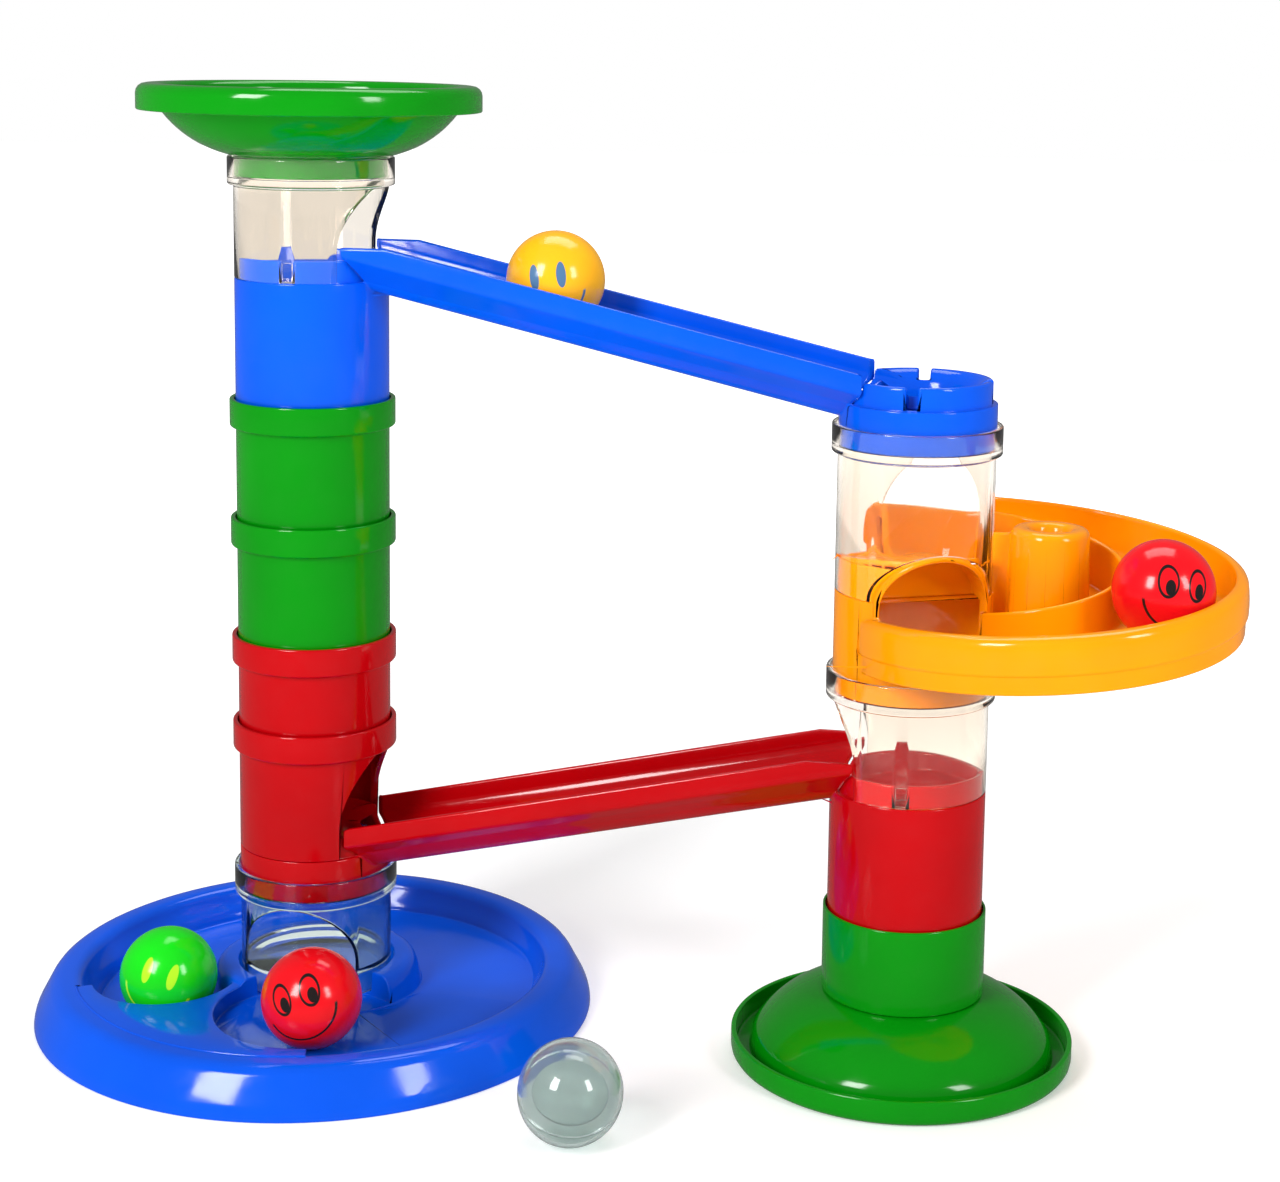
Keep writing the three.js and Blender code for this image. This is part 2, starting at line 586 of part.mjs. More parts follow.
function trayBall(name, material, [radius, degrees]) {
  const azimuth = THREE.MathUtils.degToRad(degrees);
  const up = channelFloor(azimuth) + BALL_R + BALL_LIFT;
  return mesh(name, ball(), material, radius * Math.cos(azimuth), radius * Math.sin(azimuth), up);
}
leftTower.add(
  trayBall('ball_red_tray', BALL_RED, FRONT_BALL),
  trayBall('ball_green', BALL_GREEN, WELL_BALL),
);

const hollowBall = new THREE.Group();
hollowBall.position.set(LOOSE_BALL.x, LOOSE_BALL.y, BALL_R + GAP);
hollowBall.rotation.set(THREE.MathUtils.degToRad(30), 0, THREE.MathUtils.degToRad(12));
hollowBall.add(
  mesh('ball_clear_back', halfShell(1), BALL_CLEAR),
  mesh('ball_clear_front', halfShell(-1), BALL_CLEAR),
  mesh('ball_clear_disc', ballDisc(), BALL_CLEAR),
);
leftTower.add(hollowBall);

group.add(leftTower, rightTower);
group.updateMatrixWorld(true);
const outline = new THREE.Box3().setFromObject(group, true);
const centre = outline.getCenter(new THREE.Vector3());
leftTower.position.sub(centre.clone().setZ(outline.min.z));
rightTower.position.sub(centre.setZ(outline.min.z));

export default group;
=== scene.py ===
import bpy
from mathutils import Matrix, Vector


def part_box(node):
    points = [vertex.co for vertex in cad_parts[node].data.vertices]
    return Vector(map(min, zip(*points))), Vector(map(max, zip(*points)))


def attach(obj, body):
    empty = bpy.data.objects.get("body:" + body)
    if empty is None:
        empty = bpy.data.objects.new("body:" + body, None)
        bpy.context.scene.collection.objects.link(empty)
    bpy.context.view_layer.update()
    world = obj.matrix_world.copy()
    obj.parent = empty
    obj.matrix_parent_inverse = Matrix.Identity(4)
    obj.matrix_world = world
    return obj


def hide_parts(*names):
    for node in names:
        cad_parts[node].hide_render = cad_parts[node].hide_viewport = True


bl_info = {
    "name": "Marble run",
    "version": (1, 0, 0),
    "blender": (4, 5, 0),
    "location": "3D View > Sidebar > Marble Run",
    "description": "Builds the tubes, ramps, spiral, tray and balls of a toddler's marble run",
    "category": "Object",
}

import math

import bmesh
import bpy
from mathutils import Euler, Matrix, Vector
from mathutils.geometry import interpolate_bezier

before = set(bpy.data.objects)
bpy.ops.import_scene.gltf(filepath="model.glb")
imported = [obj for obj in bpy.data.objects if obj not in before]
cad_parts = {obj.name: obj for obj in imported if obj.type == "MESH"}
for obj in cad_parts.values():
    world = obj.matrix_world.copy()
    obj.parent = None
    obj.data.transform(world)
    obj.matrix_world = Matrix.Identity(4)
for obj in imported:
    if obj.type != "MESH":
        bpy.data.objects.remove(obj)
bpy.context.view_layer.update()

# ---- sizes, in millimetres unless a name says otherwise -----------------------------------
MM = 0.001
ROUND = 96  # facets round a tube
BROAD_ROUND = 144  # facets round the funnel and the tray's rim
QUARTER = math.pi / 2

TUBE_R = 35.5
BORE_R = 33.6
COLLAR_R = 38.3
COLLAR_HEIGHT = 12.8
SOCKET_R = 36.1
SPIGOT = 9.2
GAP = 0.3
MODULE = 56.0
SHOULDER = 10.0

CROWN_R = 33.2
CROWN_INNER_R = 30.9
CROWN_HEIGHT = 10.5
NOTCH_WIDTH = 5.4
THROAT_R = 24.3
MELD_R = TUBE_R - 0.9  # what grows from a tube starts inside its wall
DECK_R = CROWN_R - 1.2  # decks end inside a tube's wall

CHUTE_SLOPE = 0.2235
CHUTE_HALF = 26.5
CHUTE_DEPTH = 23.5
CHUTE_WALL = 2.3
CHUTE_BEND = 9.0  # how far below the wall tops the sides turn in
CHUTE_END = 24.0
CHUTE_TOP = 24.5
CHUTE_CREST = MODULE + 16.5
DECK_RISE = 56.5
DECK_SLOPE = 0.08

BELL_HALF = 28.0
BELL_STRAIGHT = 14.5
BELL_RISE = 30.0
ARCH_HALF = 27.0

FUNNEL_R = 78.5
BOWL_R = 68.5
LIP_HEIGHT = 12.0
SHELL = 2.4

TRAY_R = 132.0
TRAY_TOP = 22.0
TRAY_INNER_R = 103.0
BOSS_R = 50.5
BOSS_TOP = 24.0
SEAT_TOP = 14.0
CHANNEL_TOP = 13.0
CHANNEL_FALL = 1.83
WELL = (-67.0, -26.0)
WELL_R = 33.5
EXIT = (8.0, -60.0)
EXIT_R = 44.0
EXIT_FLOOR = 26.5
TRAY_WALL = 2.5
TRAY_EDGE = 0.0007  # edge rounding, in metres

HUB_OFFSET = 60.5
SPIRAL_TURN = math.radians(-4.5)
TRACK_R = 58.5
TRACK_INNER = 34.0
TRACK_OUTER = 82.0
TRACK_RIM = 88.4
TRACK_TOP = 236.5
TRACK_FALL = 7.6
TRACK_RAIL = 21.5
TRACK_FROM = 2.98
TRACK_TO = -2.62
TRACK_END = -2.83
POST_R = 19.0
POST_TOP = 250.5
SPIRAL_SHOULDER = 36.0
SPIRAL_CROWN = 52.0
SPIRAL_ARCH_TOP = 56.0
BALL_R = 22.5

# Camera: place in metres, turn in radians, shift as a share of the frame's width
CAMERA_PLACE = (0.0518, -1.0870, 0.4688)
CAMERA_TURN = (math.radians(82.0), -0.0162, 0.0138)
CAMERA_SHIFT = (-0.0573, -0.1758)

# Inks of the printed faces
BLACK_INK = (0.012, 0.008, 0.008)
BLUE_INK = (0.07, 0.16, 0.30)
LIME_INK = (0.45, 0.90, 0.02)


def middle(node):
    """The middle of a CAD node's box, in millimetres."""
    low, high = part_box(node)
    return (low + high) / 2 / MM


def bottom_of(node):
    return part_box(node)[0].z / MM


def top_of(node):
    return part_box(node)[1].z / MM


LEFT = middle("red_short_tube").to_2d()
RIGHT = middle("base_funnel").to_2d()
SPAN = (RIGHT - LEFT).length
RAMP_TURN = math.atan2(RIGHT.y - LEFT.y, RIGHT.x - LEFT.x)
FUNNEL_HEIGHT = top_of("base_funnel") - SPIGOT


# ---- settings -----------------------------------------------------------------------------
def length(name, description, default):
    return bpy.props.FloatProperty(
        name=name, description=description, default=default, min=0.0, subtype="DISTANCE", unit="LENGTH"
    )


def amount(name, description, default, **limits):
    return bpy.props.FloatProperty(name=name, description=description, default=default, **limits)


def colour(name, description, default):
    return bpy.props.FloatVectorProperty(
        name=name, description=description, default=default, size=3, min=0.0, max=1.0, subtype="COLOR"
    )


class RunSizes(bpy.types.PropertyGroup):
    """Fine sizes that the mouldings are finished with."""

    edge: length("Edge rounding", "Radius along the cut edges of opaque mouldings", 0.0006)
    clear_edge: length("Clear edge rounding", "Radius along the cut edges of clear tubes", 0.0003)
    wall_top: length("Wall rounding", "Radius along the edges of the ramps and the spiral", 0.0010)
    seam: length("Ball seam", "Width of the groove between a ball's halves", 0.00025)
    line: length("Print line", "Width of the printed lines on the balls", 0.0009)


class RunColours(bpy.types.PropertyGroup):
    """Colours of the mouldings."""

    green: colour("Green", "Funnel, base, sleeve and two tubes", (0.0008, 0.245, 0.003))
    red: colour("Red", "Red ramp and red tubes", (0.46, 0.0006, 0.003))
    blue: colour("Blue", "Blue ramp and tray", (0.0006, 0.092, 0.76))
    yellow: colour("Yellow", "Spiral", (1.0, 0.32, 0.001))
    clear: colour("Clear", "Clear tubes", (0.93, 0.87, 0.79))
    smoke: colour("Smoky clear", "Clear tube that stands in the tray", (0.70, 0.80, 0.77))
    ball_yellow: colour("Yellow ball", "Ball on the blue ramp", (1.0, 0.46, 0.012))
    ball_red: colour("Red balls", "Balls on the spiral and in the tray", (0.80, 0.004, 0.010))
    ball_green: colour("Green ball", "Ball in the tray's well", (0.008, 0.72, 0.010))
    ball_clear: colour("Clear ball", "Hollow ball on the floor", (0.60, 0.67, 0.65))


class RunStage(bpy.types.PropertyGroup):
    """Floor, lights and camera."""

    floor: colour("Floor", "Colour of the floor", (0.90, 0.90, 0.90))
    sky: amount("Sky", "Strength of the even light", 0.38, min=0.0)
    gleam: amount("Gleam", "Strength of even reflections", 0.2, min=0.0)
    key: amount("Key", "Power of the main soft box", 27.0, unit="POWER")
    fill: amount("Fill", "Power of the side soft box and of the top one", 11.0, unit="POWER")
    lens: amount("Lens", "Focal length, in millimetres", 67.45, min=20.0)


# ---- making shapes ------------------------------------------------------------------------
def blank(bm):
    """A working object, in millimetres, from a mesh in the making."""
    bmesh.ops.recalc_face_normals(bm, faces=bm.faces)
    mesh = bpy.data.meshes.new("blank")
    bm.to_mesh(mesh)
    bm.free()
    piece = bpy.data.objects.new("blank", mesh)
    bpy.context.scene.collection.objects.link(piece)
    return piece


def settle(piece):
    """Applies the piece's modifiers."""
    depsgraph = bpy.context.evaluated_depsgraph_get()
    shaped = bpy.data.meshes.new_from_object(piece.evaluated_get(depsgraph))
    plain = piece.data
    piece.modifiers.clear()
    piece.data = shaped
    bpy.data.meshes.remove(plain)
    return piece


def carve(piece, operation, *tools):
    """Joins the tools to the piece, cuts them from it or keeps what they share. It uses them up."""
    for tool in tools:
        modifier = piece.modifiers.new(operation, "BOOLEAN")
        modifier.operation = operation
        modifier.solver = "MANIFOLD"
        modifier.object = tool
        settle(piece)
        spent = tool.data
        bpy.data.objects.remove(tool)
        bpy.data.meshes.remove(spent)
    return piece


def join(piece, *tools):
    return carve(piece, "UNION", *tools)


def cut(piece, *tools):
    return carve(piece, "DIFFERENCE", *tools)


def keep(piece, *tools):
    return carve(piece, "INTERSECT", *tools)


def moved(piece, x=0.0, y=0.0, z=0.0, turn=0.0):
    piece.data.transform(Matrix.Translation((x, y, z)) @ Matrix.Rotation(turn, 4, "Z"))
    return piece


def outline(bm, corners, place):
    """A wire loop of (across, up) or (across, up, rounding) corners, set out by place."""
    verts = [bm.verts.new(place(corner[0], corner[1])) for corner in corners]
    for start, end in zip(verts, verts[1:] + verts[:1]):
        bm.edges.new((start, end))
    for vert, corner in zip(verts, corners):
        if len(corner) > 2:
            bmesh.ops.bevel(
                bm, geom=[vert], offset=corner[2], offset_type="OFFSET", segments=4, profile=0.5,
                affect="VERTICES", material=-1,
            )


def spun(profile, facets=ROUND):
    """A ring or cup: the profile's (radius, height) corners turned once about Z."""
    bm = bmesh.new()
    outline(bm, profile, lambda radius, height: (radius, 0, height))
    bmesh.ops.spin(
        bm, geom=bm.verts[:] + bm.edges[:], cent=(0, 0, 0), axis=(0, 0, 1), angle=2 * math.pi,
        steps=facets, use_merge=True,
    )
    bmesh.ops.remove_doubles(bm, verts=bm.verts, dist=1e-4)
    axis = [edge for edge in bm.edges if all(vert.co.to_2d().length < 1e-3 for vert in edge.verts)]
    bmesh.ops.delete(bm, geom=axis, context="EDGES")
    return blank(bm)


def coiled(section, start, end, level, fall, steps):
    """The section's (radius, up) corners swept about Z from one azimuth down to another."""
    bm = bmesh.new()
    direction = Vector((math.cos(start), math.sin(start), 0))
    outline(bm, section, lambda radius, up: direction * radius + Vector((0, 0, level(start) + up)))
    turn = end - start
    bmesh.ops.spin(
        bm, geom=bm.verts[:] + bm.edges[:], cent=(0, 0, 0), axis=(0, 0, math.copysign(1, turn)),
        dvec=(0, 0, -fall * abs(turn) / steps), angle=abs(turn), steps=steps,
    )
    bmesh.ops.holes_fill(bm, edges=bm.edges, sides=0)
    return blank(bm)


def bar(section, start, reach):
    """The section's (side, up) corners at a starting point, drawn out along reach."""
    bm = bmesh.new()
    outline(bm, section, lambda side, up: Vector(start) + Vector((0, side, up)))
    bmesh.ops.contextual_create(bm, geom=bm.edges[:])
    drawn = bmesh.ops.extrude_face_region(bm, geom=bm.faces[:])["geom"]
    bmesh.ops.translate(bm, vec=reach, verts=[item for item in drawn if isinstance(item, bmesh.types.BMVert)])
    return blank(bm)


def block(x, y, z, width, depth, height):
    bm = bmesh.new()
    size = Matrix.Diagonal((width, depth, height, 1))
    bmesh.ops.create_cube(bm, size=1.0, matrix=Matrix.Translation((x, y, z)) @ size)
    return blank(bm)


def rod(radius, bottom, top, x=0.0, y=0.0):
    bm = bmesh.new()
    bmesh.ops.create_cone(
        bm, cap_ends=True, segments=ROUND, radius1=radius, radius2=radius, depth=top - bottom,
        matrix=Matrix.Translation((x, y, (bottom + top) / 2)),
    )
    return blank(bm)


def trim(bm, at, outward):
    """Cuts away what lies beyond a plane and closes the cut."""
    everything = bm.verts[:] + bm.edges[:] + bm.faces[:]
    result = bmesh.ops.bisect_plane(bm, geom=everything, plane_co=at, plane_no=outward, clear_outer=True)
    rim = [item for item in result["geom_cut"] if isinstance(item, bmesh.types.BMEdge)]
    bmesh.ops.holes_fill(bm, edges=rim, sides=0)


def window(half, bottom, straight, rise, azimuth, ceiling=None):
    """A cutter for a round-topped window through one side of a tube."""
    reach = 60.0
    bm = bmesh.new()
    lying = Matrix.Rotation(QUARTER, 4, "Y")
    bmesh.ops.create_cone(bm, cap_ends=True, segments=ROUND, radius1=1, radius2=1, depth=reach, matrix=lying)
    bmesh.ops.scale(bm, vec=(1, half, rise), verts=bm.verts)
    bmesh.ops.translate(bm, vec=(reach / 2, 0, straight), verts=bm.verts)
    trim(bm, (0, 0, straight - 0.5), (0, 0, -1))
    if ceiling is not None and ceiling < straight + rise:
        trim(bm, (0, 0, ceiling), (0, 0, 1))
    head = blank(bm)
    body = block(reach / 2, 0, (bottom + straight) / 2, reach, 2 * half, straight - bottom)
    return moved(join(head, body), turn=azimuth)


def round_edges(piece, width):
    """Rounds the edges that cuts and joins have left sharp."""
    bm = bmesh.new()
    bm.from_mesh(piece.data)
    bmesh.ops.remove_doubles(bm, verts=bm.verts, dist=0.02)
    bmesh.ops.dissolve_degenerate(bm, edges=bm.edges, dist=0.02)
    bm.to_mesh(piece.data)
    bm.free()
    edges = piece.modifiers.new("edges", "BEVEL")
    edges.width = width / MM
    edges.segments = 3
    edges.limit_method = "ANGLE"
    edges.angle_limit = math.radians(38)
    edges.use_clamp_overlap = False
    return settle(piece)


def finish(piece, name, material, body, slot, nodes, place=Matrix.Identity(4)):
    """Gives a piece its name, place and finish, puts it under its body and hides the CAD nodes that it stands
    for.
    """
    piece.name = name
    piece.data.name = name
    piece.data.transform(Matrix.Scale(MM, 4) @ place)
    piece.data.shade_smooth()
    piece.data.set_sharp_from_angle(angle=math.radians(50))
    piece.data.materials.clear()
    piece.data.materials.append(material)
    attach(piece, body)
    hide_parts(*nodes)
    return piece


def standing(axis, level=0.0, turn=0.0):
    return Matrix.Translation((axis.x, axis.y, level)) @ Matrix.Rotation(turn, 4, "Z")


# ---- finishes -----------------------------------------------------------------------------
class Finish:
    """A material and short ways to add and join its nodes."""

    def __init__(self, name):
        self.material = bpy.data.materials.new(name)
        self.material.use_nodes = True
        self.tree = self.material.node_tree
        self.shader = self.tree.nodes["Principled BSDF"]
        self.output = self.tree.nodes["Material Output"]

    def node(self, kind, **options):
        made = self.tree.nodes.new(kind)
        for key, value in options.items():
            setattr(made, key, value)
        return made

    def link(self, source, target):
        self.tree.links.new(source, target)
        return source

    def feed(self, source, name):
        """Joins a value to the shader's input of that name."""
        self.link(source, self.shader.inputs[name])

    def math(self, operation, *values):
        made = self.node("ShaderNodeMath", operation=operation)
        for socket, value in zip(made.inputs, values):
            if isinstance(value, bpy.types.NodeSocket):
                self.link(value, socket)
            else:
                socket.default_value = value
        return made.outputs[0]

    def mix(self, share, first, second):
        made = self.node("ShaderNodeMix", data_type="RGBA")
        for socket, value in zip((made.inputs[0], made.inputs[6], made.inputs[7]), (share, first, second)):
            if isinstance(value, bpy.types.NodeSocket):
                self.link(value, socket)
            elif isinstance(value, float):
                socket.default_value = value
            else:
                socket.default_value = (*value, 1.0)
        return made.outputs[2]

    def noise(self, scale, detail=2.0):
        made = self.node("ShaderNodeTexNoise")
        made.inputs["Scale"].default_value = scale
        made.inputs["Detail"].default_value = detail
        self.link(self.place(), made.inputs["Vector"])
        return made.outputs["Fac"]

    def place(self):
        return self.node("ShaderNodeTexCoord").outputs["Object"]

    def between(self, value, low, high, out_low, out_high):
        made = self.node("ShaderNodeMapRange")
        self.link(value, made.inputs["Value"])
        for name, number in zip(("From Min", "From Max", "To Min", "To Max"), (low, high, out_low, out_high)):
            made.inputs[name].default_value = number
        return made.outputs["Result"]

    def relief(self, height, depth):
        bump = self.node("ShaderNodeBump")
        bump.inputs["Strength"].default_value = 1.0
        bump.inputs["Distance"].default_value = depth
        self.link(height, bump.inputs["Height"])
        self.feed(bump.outputs["Normal"], "Normal")

    def set(self, **values):
        for name, value in values.items():
            self.shader.inputs[name.replace("_", " ")].default_value = value


def known(name, make):
    """The material of that name, made the first time that it is asked for."""
    return bpy.data.materials.get(name) or make(name)


def gloss(finish, tone, roughness=0.10):
    """Polished moulded plastic: faint flow marks in the colour, uneven polish and slight ripple."""
    flow = finish.noise(14.0, 3.0)
    deep = tuple(0.86 * channel for channel in tone)
    marks = finish.between(flow, 0.35, 0.65, 0.0, 1.0)
    colour_now = finish.mix(marks, deep, tuple(tone))
    polish = finish.noise(130.0, 4.0)
    finish.feed(finish.between(polish, 0.3, 0.75, roughness - 0.02, roughness + 0.05), "Roughness")
    ripple = finish.noise(42.0, 1.0)
    finish.relief(ripple, 0.00012)
    finish.set(IOR=1.5, Specular_IOR_Level=0.4)
    return colour_now


def moulding(name, tone):
    def make(title):
        finish = Finish(title)
        finish.feed(gloss(finish, tone), "Base Color")
        return finish.material

    return known(name, make)


def clear_plastic(name, tone, roughness=0.03, clearness=1.0):
    """Clear moulded plastic that lets lamps through, with faint ripple and haze."""

    def make(title):
        finish = Finish(title)
        finish.set(IOR=1.46, Transmission_Weight=clearness, Specular_IOR_Level=0.5)
        haze = finish.noise(60.0, 2.0)
        finish.feed(finish.between(haze, 0.3, 0.8, roughness, roughness + 0.05), "Roughness")
        tint = finish.noise(9.0, 1.0)
        deeper = tuple(0.97 * channel for channel in tone)
        finish.feed(finish.mix(tint, tuple(tone), deeper), "Base Color")
        ripple = finish.noise(26.0, 1.0)
        finish.relief(ripple, 0.00016)
        lamp = finish.node("ShaderNodeBsdfTransparent")
        lamp.inputs["Color"].default_value = (*tone, 1.0)
        both = finish.node("ShaderNodeMixShader")
        path = finish.node("ShaderNodeLightPath")
        finish.link(path.outputs["Is Shadow Ray"], both.inputs[0])
        finish.link(finish.shader.outputs[0], both.inputs[1])
        finish.link(lamp.outputs[0], both.inputs[2])
        finish.link(both.outputs[0], finish.output.inputs["Surface"])
        return finish.material

    return known(name, make)


class Face:
    """A printed face, in units of the ball's radius: right of and above the face's middle."""

    def __init__(self, finish, centre, turn, line):
        self.finish = finish
        mapping = finish.node("ShaderNodeMapping", vector_type="TEXTURE")
        mapping.inputs["Location"].default_value = centre
        mapping.inputs["Rotation"].default_value = turn
        mapping.inputs["Scale"].default_value = (BALL_R * MM,) * 3
        finish.link(finish.place(), mapping.inputs["Vector"])
        parts = finish.node("ShaderNodeSeparateXYZ")
        finish.link(mapping.outputs[0], parts.inputs[0])
        self.right, self.depth, self.up = parts.outputs
        self.line = line / (BALL_R * MM)

    def front(self, mask):
        facing = self.finish.math("LESS_THAN", self.depth, 0.0)
        return self.finish.math("MULTIPLY", mask, facing)

    def reach(self, across, up, wide, high):
        """Distance from an oval's middle, 1 on the oval itself."""
        f = self.finish
        x = f.math("DIVIDE", f.math("SUBTRACT", self.right, across), wide)
        y = f.math("DIVIDE", f.math("SUBTRACT", self.up, up), high)
        return f.math("SQRT", f.math("ADD", f.math("MULTIPLY", x, x), f.math("MULTIPLY", y, y)))

    def oval(self, across, up, wide, high):
        near = self.reach(across, up, wide, high)
        return self.front(self.finish.between(near, 0.96, 1.04, 1.0, 0.0))

    def ring(self, across, up, wide, high):
        near = self.reach(across, up, wide, high)
        off = self.finish.math("ABSOLUTE", self.finish.math("SUBTRACT", near, 1.0))
        edge = self.line / min(wide, high) / 2
        return self.front(self.finish.between(off, 0.8 * edge, 1.2 * edge, 1.0, 0.0))

    def smile(self, up, wide, high, above):
        """The lower part of an oval line, cut off at a height."""
        under = self.finish.between(self.up, above - 0.02, above + 0.02, 1.0, 0.0)
        return self.finish.math("MULTIPLY", self.ring(0.0, up, wide, high), under)

    def together(self, *masks):
        total = masks[0]
        for mask in masks[1:]:
            total = self.finish.math("MAXIMUM", total, mask)
        return total


def printed_ball(name, tone, ink, centre, turn, line, ringed):
    """Glossy ball with a plain smiling face: two eyes, ringed or filled, and a curved mouth."""

    def make(title):
        finish = Finish(title)
        base = gloss(finish, tone, 0.14)
        face = Face(finish, centre, turn, line)
        mouth = face.smile(0.0, 0.68, 0.62, -0.12)
        if ringed:
            eyes = [face.ring(side * 0.29, 0.28, 0.18, 0.28) for side in (-1, 1)]
            dots = [face.oval(side * 0.29 + 0.04, 0.18, 0.095, 0.15) for side in (-1, 1)]
        else:
            eyes = [face.oval(side * 0.27, 0.26, 0.095, 0.25) for side in (-1, 1)]
            dots = []
        print_mask = face.together(mouth, *eyes, *dots)
        finish.feed(finish.mix(print_mask, base, ink), "Base Color")
        return finish.material

    return known(name, make)


# ---- tubes --------------------------------------------------------------------------------
def tube(rise, bottom=-SPIGOT):
    """A tube with a collar at its top. Height 0 is the plane that the tube below ends in."""
    return spun([
        (BORE_R, bottom), (TUBE_R, bottom, 0.35), (TUBE_R, rise - COLLAR_HEIGHT - 0.7, 0.5),
        (COLLAR_R, rise - COLLAR_HEIGHT, 0.8), (COLLAR_R, rise, 0.7), (SOCKET_R, rise, 0.5),
        (SOCKET_R, rise - SPIGOT - GAP, 0.2), (BORE_R, rise - SPIGOT - GAP, 0.3),
    ])


def lug(side):
    """The lug inside a tube that drops into the notch of the crown below."""
    depth = 2.2
    height = CROWN_HEIGHT - 2
    return block(0, side * (BORE_R + 0.4 - depth / 2), 3 * GAP + height / 2, NOTCH_WIDTH - 0.8, depth, height)


def bell_tube(rise, edge, side):
    arch = BELL_RISE + rise - MODULE
    opening = window(BELL_HALF, -1, BELL_STRAIGHT, arch, 0, rise - COLLAR_HEIGHT - 1)
    piece = join(cut(tube(rise, GAP), opening), lug(side))
    return round_edges(piece, edge)


def exit_tube(edge):
    bottom = SEAT_TOP + GAP
    rise = top_of("tray_exit_tube")
    straight = rise - COLLAR_HEIGHT - 1 - ARCH_HALF
    piece = tube(rise, bottom)
    cut(piece, window(ARCH_HALF, bottom - 1, straight, ARCH_HALF, -QUARTER))
    edge_r = BORE_R + 0.5
    floor = spun([(0, EXIT_FLOOR - 2), (edge_r, EXIT_FLOOR - 2), (edge_r, EXIT_FLOOR), (0, EXIT_FLOOR - 0.6)])
    cut(floor, block(0, -TUBE_R - 5, EXIT_FLOOR, 2 * ARCH_HALF - 2, 15, 10))
    return round_edges(join(piece, floor), edge)


def arch_azimuth():
    """Where the middle of the track crosses the tower's wall, about the tower's axis."""
    share = (HUB_OFFSET ** 2 + TUBE_R ** 2 - TRACK_R ** 2) / (2 * HUB_OFFSET * TUBE_R)
    return math.acos(-share) - math.pi


def spiral_top_tube(rise, edge):
    front = arch_azimuth()
    piece = tube(rise, GAP)
    cut(piece, window(BELL_HALF, -1, 26, BELL_RISE, -front, rise - COLLAR_HEIGHT - 1))
    cut(piece, window(ARCH_HALF + 1, -1, 1, ARCH_HALF - 5.5, front))
    return round_edges(piece, edge)


def sleeve():
    bottom = bottom_of("base_sleeve")
    top = top_of("base_sleeve")
    outside = 37.3
    return spun([
        (SOCKET_R, bottom, 0.4), (outside, bottom, 0.6), (outside, top, 0.6), (SOCKET_R, top, 0.4),
        (SOCKET_R, top - SPIGOT - GAP), (BORE_R, top - SPIGOT - GAP),
        (BORE_R, bottom + SPIGOT + GAP), (SOCKET_R, bottom + SPIGOT + GAP),
    ])


def funnel():
    """Neck down, bowl up; height 0 is where the bowl meets the neck."""

    def bowl(start, bend, end):
        first, last, pull = Vector((*start, 0)), Vector((*end, 0)), Vector((*bend, 0))
        points = interpolate_bezier(first, first.lerp(pull, 2 / 3), last.lerp(pull, 2 / 3), last, 14)
        return [(point.x, point.y) for point in points]

    top = FUNNEL_HEIGHT
    lip = top - LIP_HEIGHT
    rim = FUNNEL_R - SHELL
    under = bowl((TUBE_R + 1, 0), (57, 5), (BOWL_R, top - 11))
    inside = bowl((BOWL_R - SHELL, top - 10.6), (56, 7.6), (BORE_R, SHELL))
    return spun([
        (BORE_R, -SPIGOT), (TUBE_R, -SPIGOT, 0.4), (TUBE_R, 0, 0.3), *under,
        (BOWL_R + 0.8, top - SHELL, 1.0), (rim, top - SHELL - 0.6, 1.2), (rim, lip, 0.8),
        (FUNNEL_R, lip, 0.9), (FUNNEL_R, top, 4.5), (BOWL_R - SHELL, top, 4.0), *inside,
    ], BROAD_ROUND)


# ---- ramps --------------------------------------------------------------------------------
def wall_top(x):
    """Height of a chute's wall tops, above the collars that hold the ramp."""
    return CHUTE_TOP + CHUTE_SLOPE * (SPAN - CHUTE_END - x)


def mirrored(half_section):
    return half_section + [(-corner[0], *corner[1:]) for corner in reversed(half_section)]


def chute_bar(section, start, end):
    reach = end - start
    return bar(section, (start, 0, wall_top(start)), (reach, 0, -CHUTE_SLOPE * reach))


